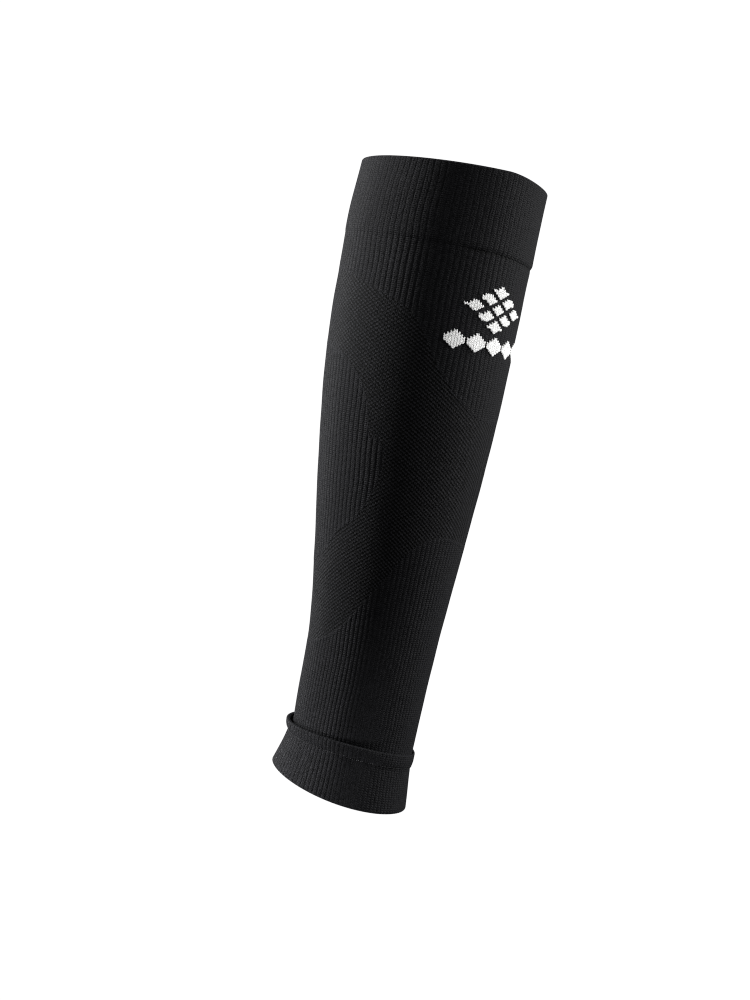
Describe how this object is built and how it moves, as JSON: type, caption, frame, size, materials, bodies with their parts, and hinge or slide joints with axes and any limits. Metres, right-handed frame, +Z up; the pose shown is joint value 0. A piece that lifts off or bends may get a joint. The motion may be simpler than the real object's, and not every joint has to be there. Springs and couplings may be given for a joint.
{
  "type": "calf compression sleeve",
  "caption": "Footless knitted tube worn round the calf, with a doubled top band, ribbed and mesh knit zones, and a flared ankle cuff with a rolled edge.",
  "frame": {"origin": "centre of the ankle opening, on the leg's axis", "axes": "+Z up the leg to the knee, +X towards the shin, -Y towards the outer side of the leg"},
  "size_m": [0.1039, 0.0958, 0.3493],
  "materials": {
    "black_knit": "matt ribbed and mesh knit in black nylon and elastane",
    "black_rib": "matt doubled rib knit in black nylon and elastane",
    "white_yarn": "matt white yarn knitted in as a motif"
  },
  "bodies": {
    "root": {"leg_tube": "black_knit", "top_band": "black_rib", "ankle_cuff": "black_rib"}
  },
  "joints": []
}
